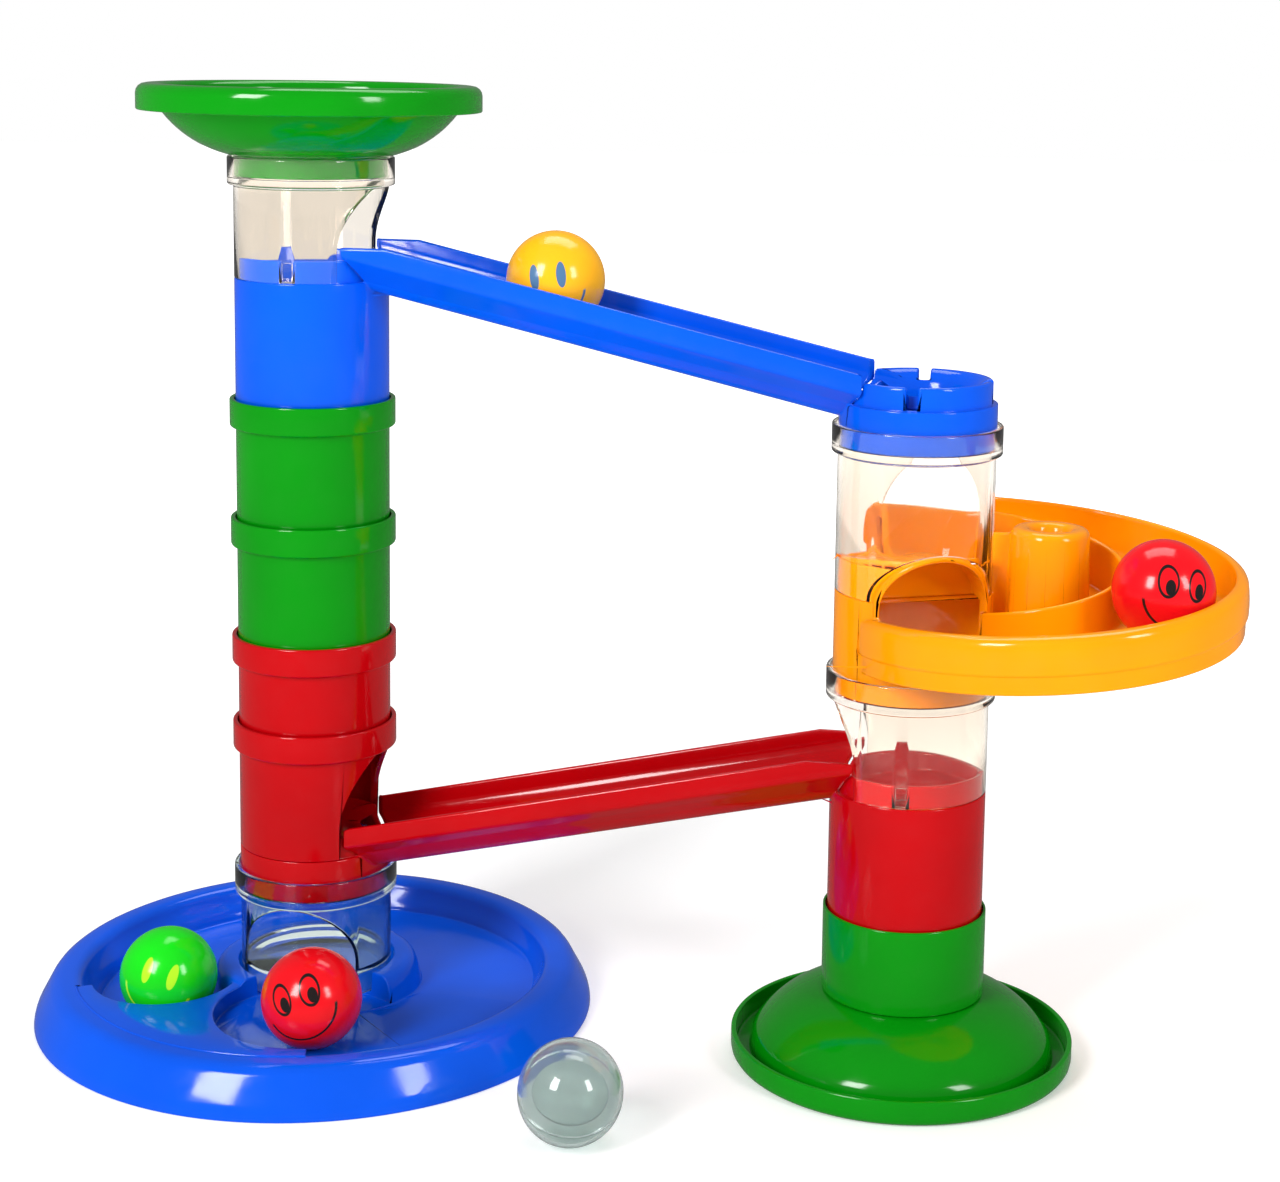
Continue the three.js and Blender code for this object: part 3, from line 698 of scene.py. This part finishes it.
def ramp(side):
    """One moulding: upper tube with its deck, chute, and lower socket. X runs down the ramp."""
    outside = mirrored([
        (CHUTE_HALF, 0), (CHUTE_HALF, -CHUTE_BEND, 1.2), (14, -CHUTE_DEPTH + 1.5, 2.5),
        (11, -CHUTE_DEPTH, 2.0),
    ])
    half = CHUTE_HALF - CHUTE_WALL
    floor = -CHUTE_DEPTH + CHUTE_WALL

    def hollow(width, lift):
        return mirrored([
            (width, lift), (width - 0.2, -CHUTE_BEND, 3.0), (12.5, floor + 1.0, 3.0), (9, floor, 1.5),
        ])

    trough = chute_bar(outside, 6, SPAN - 6)
    cut(trough, block(SPAN / 2, 0, CHUTE_CREST + 20, SPAN + 20, 80, 40))
    cut(trough, rod(MELD_R, -40, 100), rod(MELD_R, -40, 100, SPAN))
    cut(trough, chute_bar(hollow(half - 0.1, 60), 2, SPAN - 2))

    crown = MODULE + CROWN_HEIGHT
    upper = spun([
        (BORE_R, -SPIGOT), (TUBE_R, -SPIGOT, 0.4), (TUBE_R, MODULE, 0.5), (CROWN_R, MODULE, 0.3),
        (CROWN_R, crown, 0.8), (CROWN_INNER_R, crown, 0.8), (CROWN_INNER_R - 0.6, MODULE + 1, 2.0),
        (CROWN_INNER_R - 7, MODULE - 4), (BORE_R, MODULE - 6),
    ])
    deck = bar(
        [(36, 3.0), (12, 0, 4.0), (-12, 0, 4.0), (-36, 3.0), (-36, -4.5), (36, -4.5)],
        (-40, 0, DECK_RISE + DECK_SLOPE * 40), (80, 0, -DECK_SLOPE * 80),
    )
    keep(deck, rod(DECK_R, MODULE - 20, crown))
    cut(upper, chute_bar(hollow(half, 40), 14, 60))
    join(upper, deck)
    cut(upper, *notches(0, MODULE, [(0, side), (-1, 0)]))

    crown = SHOULDER + CROWN_HEIGHT
    lower = spun([
        (BORE_R, -SPIGOT), (TUBE_R, -SPIGOT, 0.4), (TUBE_R, SHOULDER, 0.5), (CROWN_R, SHOULDER, 0.3),
        (CROWN_R, crown, 1.4), (29.5, crown, 3.0), (THROAT_R, crown - 6.5, 3.5), (THROAT_R, -1, 0.8),
        (THROAT_R + 2.2, -1, 0.8), (THROAT_R + 2.2, crown - 9), (CROWN_INNER_R, crown - 5.5),
        (CROWN_INNER_R, SHOULDER - 2), (BORE_R, SHOULDER - 4),
    ])
    moved(lower, SPAN)
    cut(lower, chute_bar(hollow(half, 40), SPAN - 60, SPAN - 4))
    cut(lower, *notches(SPAN, SHOULDER, [(0, 1), (0, -1), (1, 0)]))
    return round_edges(join(upper, trough, lower), settings().sizes.wall_top)


def notches(x, shoulder, directions):
    """Cutters for a crown's notches, which face along or across the ramp."""
    height = CROWN_HEIGHT + 1
    reach = CROWN_R - 2.5
    z = shoulder + height / 2 + 0.4
    cutters = []
    for along, across in directions:
        width, depth = (9, NOTCH_WIDTH) if along else (NOTCH_WIDTH, 9)
        cutters.append(block(x + along * reach, across * reach, z, width, depth, height))
    return cutters


# ---- tray ---------------------------------------------------------------------------------
def channel_floor(azimuth):
    return CHANNEL_TOP - CHANNEL_FALL * (azimuth + QUARTER)


def tray():
    foot = 1.2
    top = TRAY_TOP
    wall = TRAY_WALL
    rim = spun([
        (TRAY_R - wall, 0), (TRAY_R, 0, 0.8), (TRAY_R - 0.4, 4.5, 3.0), (122.6, top - 0.6, 4.5),
        (110, top, 3.5), (107.6, 15.5, 3.0), (TRAY_INNER_R + 1, 10, 2.5), (TRAY_INNER_R - 1, foot),
        (TRAY_INNER_R + wall, foot), (108.2, 12), (111.5, top - wall), (121, top - wall), (129, 3.4),
    ], BROAD_ROUND)
    boss = spun([
        (0, SEAT_TOP - wall), (47.4, SEAT_TOP - wall), (47.4, foot), (BOSS_R + 1.5, foot), (BOSS_R, 9, 3.0),
        (48.2, 19, 2.0), (45.5, BOSS_TOP, 3.0), (37.0, BOSS_TOP, 0.8), (36.3, SEAT_TOP, 0.3), (0, SEAT_TOP),
    ])
    well_azimuth = math.atan2(WELL[1], WELL[0]) + 2 * math.pi
    exit_azimuth = math.atan2(EXIT[1], EXIT[0]) + 2 * math.pi
    start = -0.75 * math.pi
    floor = coiled(
        [(34, 0), (TRAY_INNER_R + 1.5, 0), (TRAY_INNER_R + 1.5, -wall), (34, -wall)],
        start, well_azimuth + 0.5, channel_floor, CHANNEL_FALL, 120,
    )
    deck = coiled(
        [(45, foot - 1), (113, foot - 1), (113, top), (45, top)],
        well_azimuth, exit_azimuth, lambda azimuth: 0.0, 0.0, 64,
    )
    keep(deck, block(0, 0, top / 2, 400, 400, top - 0.02))
    exit_hollow = rod(EXIT_R, CHANNEL_TOP - 1, 40, *EXIT)
    cut(deck, rod(WELL_R, -1, 40, *WELL))
    body = join(rim, boss, deck)
    cut(body, exit_hollow)
    join(body, floor)
    return round_edges(body, TRAY_EDGE)


# ---- spiral -------------------------------------------------------------------------------
def track_floor(azimuth):
    return TRACK_TOP - TRACK_FALL * (math.pi - azimuth)


def spiral():
    """One moulding: the tower tube with its arch, and the track round a hub post."""
    base = bottom_of("clear_tube_right_upper") - GAP - SPIRAL_SHOULDER
    front = arch_azimuth()
    shoulder = SPIRAL_SHOULDER
    crown = SPIRAL_CROWN
    arch_rise = ARCH_HALF - 4
    straight = SPIRAL_ARCH_TOP - arch_rise

    def level(azimuth):
        return track_floor(azimuth) - base

    tower = spun([
        (BORE_R, -SPIGOT), (TUBE_R, -SPIGOT, 0.4), (TUBE_R, shoulder, 0.5), (CROWN_R, shoulder, 0.3),
        (CROWN_R, crown, 0.8), (CROWN_INNER_R, crown, 0.8), (CROWN_INNER_R, shoulder - 3),
        (BORE_R, shoulder - 5),
    ])
    cut(tower, window(BELL_HALF - 1, shoulder - 2, crown + 10, 5, -front))
    hood = keep(
        spun([(CROWN_INNER_R, 8), (TUBE_R + 0.9, 8, 1.0), (TUBE_R + 0.9, 58, 0.5), (CROWN_INNER_R, 58)]),
        window(ARCH_HALF, 9, straight + 2, arch_rise, front),
    )
    join(tower, hood)
    cut(tower, window(ARCH_HALF - 2, level(TRACK_TO), straight, arch_rise, front))
    deck = coiled(
        [(TRACK_R - 45, 0), (TRACK_R + 62, 0), (TRACK_R + 62, -TRAY_WALL), (TRACK_R - 45, -TRAY_WALL)],
        math.pi + 0.75, math.pi - 0.75, level, TRACK_FALL, 24,
    )
    moved(deck, HUB_OFFSET)
    keep(deck, rod(DECK_R, 0, 80))
    vault = keep(window(ARCH_HALF, 44, straight + 2, arch_rise, 0), rod(DECK_R, 30, 90))
    cut(vault, block(-42, 0, 50, 100, 100, 100))
    passage = window(ARCH_HALF - 2, level(TRACK_TO), straight, arch_rise, 0)
    cut(passage, block(-39.8, 0, 30, 100, 100, 160))
    join(tower, deck, moved(vault, turn=front))
    cut(tower, moved(passage, turn=front))

    rail = TRACK_RAIL
    wall = SHELL
    track = coiled(
        [
            (16, -wall), (TRACK_OUTER + wall, -wall), (TRACK_OUTER + wall, rail - 6),
            (TRACK_RIM - wall - 0.6, rail - 7), (TRACK_RIM - wall - 1.2, -wall - 1),
            (TRACK_RIM - 1.4, -wall - 1, 0.8), (TRACK_RIM - 1.2, 4.6, 0.5),
            (TRACK_RIM - 0.2, 5.4, 0.7), (TRACK_RIM + 0.3, rail - 9, 6.0), (TRACK_RIM - 1.2, rail, 4.4),
            (TRACK_OUTER - 0.1, rail, 2.0), (TRACK_OUTER, 0, 5.0), (TRACK_INNER, 0, 3.0),
            (TRACK_INNER, rail, 1.15), (TRACK_INNER - wall, rail, 1.15), (TRACK_INNER - wall, 0), (16, 0),
        ],
        TRACK_FROM, TRACK_END, level, TRACK_FALL, 114,
    )
    top = POST_TOP - base
    post = spun([
        (8.5, level(0) - 12), (POST_R, level(0) - 12), (POST_R, 0), (POST_R - 1.6, top, 3.2), (9.0, top, 2.6),
        (7.4, top - 8),
    ])
    low = level(TRACK_TO) - wall
    high = top - 3
    web = block(3 - (POST_R + HUB_OFFSET) / 2, 0, (high + low) / 2, HUB_OFFSET - POST_R + 6, wall, high - low)
    track = join(track, post, web)
    cut(track, rod(7.9, -40, top - 7))
    moved(track, HUB_OFFSET)
    cut(track, rod(MELD_R, -50, 100), rod(COLLAR_R + GAP, -50, GAP))
    return round_edges(join(tower, track), settings().sizes.wall_top)


# ---- balls --------------------------------------------------------------------------------
def ball(seam):
    """A ball of two halves with a fine groove between them."""
    bm = bmesh.new()
    bmesh.ops.create_uvsphere(bm, u_segments=96, v_segments=64, radius=BALL_R)
    equator = [edge for edge in bm.edges if all(abs(vert.co.z) < 1e-3 for vert in edge.verts)]
    bmesh.ops.bevel(
        bm, geom=equator, offset=seam / MM, offset_type="OFFSET", segments=2, profile=0.5,
        affect="EDGES", material=-1,
    )
    groove = [vert for vert in bm.verts if abs(vert.co.z) < 1e-3]
    bmesh.ops.scale(bm, vec=(0.994, 0.994, 1), verts=groove)
    return blank(bm)


def half_shell():
    """The upper half of the hollow ball. It ends half a gap short of the other half."""
    wall = 1.6

    def arc(radius, start, end, steps=24):
        angles = [start + (end - start) * step / steps for step in range(steps + 1)]
        return [(max(0.0, radius * math.cos(angle)), radius * math.sin(angle) + GAP / 2) for angle in angles]

    return spun(arc(BALL_R - wall, QUARTER, 0) + arc(BALL_R, 0, QUARTER))


def inner_disc():
    return spun([(0, -0.9), (16.2, -0.9, 0.8), (16.2, 0.9, 0.8), (0, 0.9)])


# ---- stage --------------------------------------------------------------------------------
def lay_floor(tone):
    """A sheet of paper with painted light: it glows more the further it is from the run, so the floor near
    the run is painted darker as painted shade.
    """
    bm = bmesh.new()
    bmesh.ops.create_grid(bm, x_segments=8, y_segments=8, size=8.0)
    mesh = bpy.data.meshes.new("floor")
    bm.to_mesh(mesh)
    bm.free()
    floor = bpy.data.objects.new("floor", mesh)
    bpy.context.scene.collection.objects.link(floor)
    paper = Finish("floor_paper")
    speck = paper.noise(3.0)
    lighter = tuple(min(1.0, 1.02 * channel) for channel in tone)
    paper.feed(paper.mix(speck, tuple(tone), lighter), "Base Color")
    paper.set(Roughness=0.7, Specular_IOR_Level=0.2, Emission_Color=(1.0, 1.0, 1.0, 1.0))
    # painted light: the floor's emission grows from 0.22 beside the run to 1.0 far away, though the floor is
    # no lamp
    away = paper.node("ShaderNodeVectorMath", operation="LENGTH")
    paper.link(paper.place(), away.inputs[0])
    paper.feed(paper.between(away.outputs["Value"], 0.35, 1.3, 0.22, 1.0), "Emission Strength")
    mesh.materials.append(paper.material)
    floor.visible_glossy = False


def light_sky(sky, gleam):
    """An even white light, with its own strength for each kind of ray."""
    world = bpy.data.worlds.new("studio")
    bpy.context.scene.world = world
    world.use_nodes = True
    studio = world.node_tree
    background = studio.nodes["Background"]
    background.inputs["Color"].default_value = (1.0, 1.0, 1.0, 1.0)
    path = studio.nodes.new("ShaderNodeLightPath")
    level = None
    for rays, brightness in (
        ("Is Diffuse Ray", sky),
        ("Is Glossy Ray", gleam),
        ("Is Transmission Ray", 1.0),
    ):
        step = studio.nodes.new("ShaderNodeMix")
        step.inputs["B"].default_value = brightness
        if level is None:
            step.inputs["A"].default_value = 1.0
        else:
            studio.links.new(level, step.inputs["A"])
        studio.links.new(path.outputs[rays], step.inputs["Factor"])
        level = step.outputs["Result"]
    studio.links.new(level, background.inputs["Strength"])


def soft_box(name, place, size, power):
    """A rectangular area light that faces the middle of the run."""
    lamp = bpy.data.lights.new(name, "AREA")
    lamp.shape = "RECTANGLE"
    lamp.size, lamp.size_y = size
    lamp.energy = power
    light = bpy.data.objects.new(name, lamp)
    light.location = place
    aim = Vector((0, 0, 0.2)) - Vector(place)
    light.rotation_euler = aim.to_track_quat("-Z", "Y").to_euler()
    bpy.context.scene.collection.objects.link(light)


def set_camera(length_mm):
    lens = bpy.data.cameras.new("camera")
    lens.lens = length_mm
    lens.sensor_width = 36.0
    lens.shift_x, lens.shift_y = CAMERA_SHIFT
    lens.clip_start = 0.05
    camera = bpy.data.objects.new("camera", lens)
    camera.location = CAMERA_PLACE
    camera.rotation_euler = CAMERA_TURN
    bpy.context.scene.collection.objects.link(camera)
    bpy.context.scene.camera = camera


# ---- operators ----------------------------------------------------------------------------
def settings():
    return bpy.context.scene.marble_run


def slot_finish(slot):
    """The opaque moulding finish of a material slot."""
    tones = settings().colours
    tone = slot.removeprefix("gloss_")
    return moulding("polished_" + tone, getattr(tones, tone))


def clear_finish():
    return clear_plastic("clear_moulding", settings().colours.clear)


class RUN_OT_plain_tubes(bpy.types.Operator):
    """Build the plain tubes and the sleeve of the two towers"""

    bl_idname = "marble_run.plain_tubes"
    bl_label = "Plain tubes"

    def execute(self, context):
        for node, slot in (
            ("red_short_tube", "gloss_red"),
            ("green_tube_lower", "gloss_green"),
            ("green_tube_upper", "gloss_green"),
        ):
            level = bottom_of(node) + SPIGOT
            piece = tube(top_of(node) - level)
            finish(piece, node + "_piece", slot_finish(slot), "run", slot, [node], standing(LEFT, level))
        finish(
            sleeve(), "base_sleeve_piece", slot_finish("gloss_green"), "run", "gloss_green", ["base_sleeve"],
            standing(RIGHT),
        )
        return {"FINISHED"}


class RUN_OT_window_tubes(bpy.types.Operator):
    """Build the tubes that stand over the ramps' ends and over the spiral"""

    bl_idname = "marble_run.window_tubes"
    bl_label = "Tubes with windows"

    def execute(self, context):
        sizes = settings().sizes
        for node, axis, turn, slot in (
            ("red_arch_tube", LEFT, RAMP_TURN, "gloss_red"),
            ("clear_tube_left", LEFT, RAMP_TURN, "clear_plastic"),
            ("clear_tube_right_lower", RIGHT, RAMP_TURN + math.pi, "clear_plastic"),
        ):
            level = bottom_of(node) - GAP
            clear = slot == "clear_plastic"
            edge = sizes.clear_edge if clear else sizes.edge
            material = clear_finish() if clear else slot_finish(slot)
            piece = bell_tube(top_of(node) - level, edge, -1 if axis is LEFT else 1)
            finish(piece, node + "_piece", material, "run", slot, [node], standing(axis, level, turn))
        level = bottom_of("clear_tube_right_upper") - GAP
        piece = spiral_top_tube(top_of("clear_tube_right_upper") - level, sizes.clear_edge)
        finish(
            piece, "clear_tube_right_upper_piece", clear_finish(), "run", "clear_plastic",
            ["clear_tube_right_upper"], standing(RIGHT, level, SPIRAL_TURN),
        )
        finish(
            exit_tube(sizes.clear_edge), "tray_exit_tube_piece",
            clear_plastic("smoky_clear_moulding", settings().colours.smoke), "run", "clear_plastic",
            ["tray_exit_tube"], standing(LEFT, 0, RAMP_TURN),
        )
        return {"FINISHED"}


class RUN_OT_funnels(bpy.types.Operator):
    """Build the funnel and the base, which is the same moulding turned over"""

    bl_idname = "marble_run.funnels"
    bl_label = "Funnel and base"

    def execute(self, context):
        green = slot_finish("gloss_green")
        level = bottom_of("funnel") + SPIGOT
        finish(funnel(), "funnel_piece", green, "funnel", "gloss_green", ["funnel"], standing(LEFT, level))
        turned_over = standing(RIGHT, FUNNEL_HEIGHT) @ Matrix.Rotation(math.pi, 4, "X")
        finish(funnel(), "base_funnel_piece", green, "run", "gloss_green", ["base_funnel"], turned_over)
        return {"FINISHED"}


class RUN_OT_ramps(bpy.types.Operator):
    """Build the blue ramp and the red ramp, each as one moulding"""

    bl_idname = "marble_run.ramps"
    bl_label = "Ramps"

    def execute(self, context):
        for tone, axis, turn, side in (("blue", LEFT, RAMP_TURN, -1), ("red", RIGHT, RAMP_TURN + math.pi, 1)):
            nodes = [tone + part for part in ("_ramp_upper_tube", "_ramp_chute", "_ramp_lower_socket")]
            slot = "gloss_" + tone
            level = bottom_of(nodes[0]) + SPIGOT
            place = standing(axis, level, turn)
            finish(ramp(side), tone + "_ramp", slot_finish(slot), "run", slot, nodes, place)
        return {"FINISHED"}


class RUN_OT_spiral(bpy.types.Operator):
    """Build the spiral with its tower tube, as one moulding"""

    bl_idname = "marble_run.spiral"
    bl_label = "Spiral"

    def execute(self, context):
        level = bottom_of("clear_tube_right_upper") - GAP - SPIRAL_SHOULDER
        finish(
            spiral(), "spiral_piece", slot_finish("gloss_yellow"), "run", "gloss_yellow",
            ["spiral_tower", "spiral_track"], standing(RIGHT, level, SPIRAL_TURN),
        )
        return {"FINISHED"}


class RUN_OT_tray(bpy.types.Operator):
    """Build the catch tray"""

    bl_idname = "marble_run.tray"
    bl_label = "Tray"

    def execute(self, context):
        slot = "gloss_blue"
        finish(tray(), "tray_piece", slot_finish(slot), "run", slot, ["base_tray"], standing(LEFT))
        return {"FINISHED"}


class RUN_OT_printed_balls(bpy.types.Operator):
    """Build the four printed balls"""

    bl_idname = "marble_run.printed_balls"
    bl_label = "Printed balls"

    def execute(self, context):
        tones = settings().colours
        seam, line = settings().sizes.seam, settings().sizes.line
        for node, body, tone, ink, face, ringed in (
            ("ball_yellow", "yellow_ball", "ball_yellow", BLUE_INK, (6, -8, -4), False),
            ("ball_red_spiral", "spiral_ball", "ball_red", BLACK_INK, (-4, 10, 10), True),
            ("ball_red_tray", "tray_ball", "ball_red", BLACK_INK, (-10, -22, 0), True),
            ("ball_green", "well_ball", "ball_green", LIME_INK, (-8, 14, -4), False),
        ):
            centre = middle(node)
            turn = Euler([math.radians(angle) for angle in face])
            plastic = getattr(tones, tone)
            material = printed_ball(node + "_print", plastic, ink, centre * MM, turn, line, ringed)
            tip = Matrix.Translation(centre) @ turn.to_matrix().to_4x4() @ Matrix.Rotation(QUARTER, 4, "X")
            finish(ball(seam), node + "_piece", material, body, tone + "_plastic", [node], tip)
        return {"FINISHED"}


class RUN_OT_hollow_ball(bpy.types.Operator):
    """Build the clear hollow ball and the disc inside it"""

    bl_idname = "marble_run.hollow_ball"
    bl_label = "Hollow ball"

    def execute(self, context):
        lean = Matrix.Rotation(math.radians(12), 4, "Z") @ Matrix.Rotation(math.radians(30), 4, "X")
        place = Matrix.Translation(middle("ball_clear_disc")) @ lean
        turned_over = place @ Matrix.Rotation(math.pi, 4, "X")
        shell = clear_plastic("hollow_ball_clear", settings().colours.ball_clear, 0.05, 0.9)
        for shape, part, where in (
            (half_shell, "back", place),
            (half_shell, "front", turned_over),
            (inner_disc, "disc", place),
        ):
            node = "ball_clear_" + part
            finish(shape(), node + "_piece", shell, "clear_ball", "ball_clear_plastic", [node], where)
        return {"FINISHED"}


class RUN_OT_stage(bpy.types.Operator):
    """Lay the floor and set the lights and the camera"""

    bl_idname = "marble_run.stage"
    bl_label = "Stage"

    def execute(self, context):
        stage = settings().stage
        lay_floor(stage.floor)
        light_sky(stage.sky, stage.gleam)
        soft_box("key", (-0.95, -1.30, 1.10), (0.5, 0.8), stage.key)
        soft_box("fill", (1.2, -1.1, 0.95), (0.35, 0.7), stage.fill)
        soft_box("top", (0.1, 0.5, 1.7), (1.2, 0.7), stage.fill)
        set_camera(stage.lens)
        context.scene.view_settings.view_transform = "Standard"
        return {"FINISHED"}


class RunSettings(bpy.types.PropertyGroup):
    """All settings of the marble run."""

    sizes: bpy.props.PointerProperty(type=RunSizes)
    colours: bpy.props.PointerProperty(type=RunColours)
    stage: bpy.props.PointerProperty(type=RunStage)


OPERATORS = (
    RUN_OT_stage, RUN_OT_plain_tubes, RUN_OT_window_tubes, RUN_OT_funnels, RUN_OT_ramps, RUN_OT_spiral,
    RUN_OT_tray, RUN_OT_printed_balls, RUN_OT_hollow_ball,
)


class RUN_PT_panel(bpy.types.Panel):
    """Lists the steps that build the marble run"""

    bl_label = "Marble Run"
    bl_idname = "RUN_PT_panel"
    bl_space_type = "VIEW_3D"
    bl_region_type = "UI"
    bl_category = "Marble Run"

    def draw(self, context):
        for operator in OPERATORS:
            self.layout.operator(operator.bl_idname)


CLASSES = (RunSizes, RunColours, RunStage, RunSettings, *OPERATORS, RUN_PT_panel)


def register():
    for cls in CLASSES:
        bpy.utils.register_class(cls)
    bpy.types.Scene.marble_run = bpy.props.PointerProperty(type=RunSettings)


def unregister():
    del bpy.types.Scene.marble_run
    for cls in reversed(CLASSES):
        bpy.utils.unregister_class(cls)


def main():
    register()
    for operator in OPERATORS:
        group, step = operator.bl_idname.split(".")
        getattr(getattr(bpy.ops, group), step)()


if __name__ == "__main__":
    main()
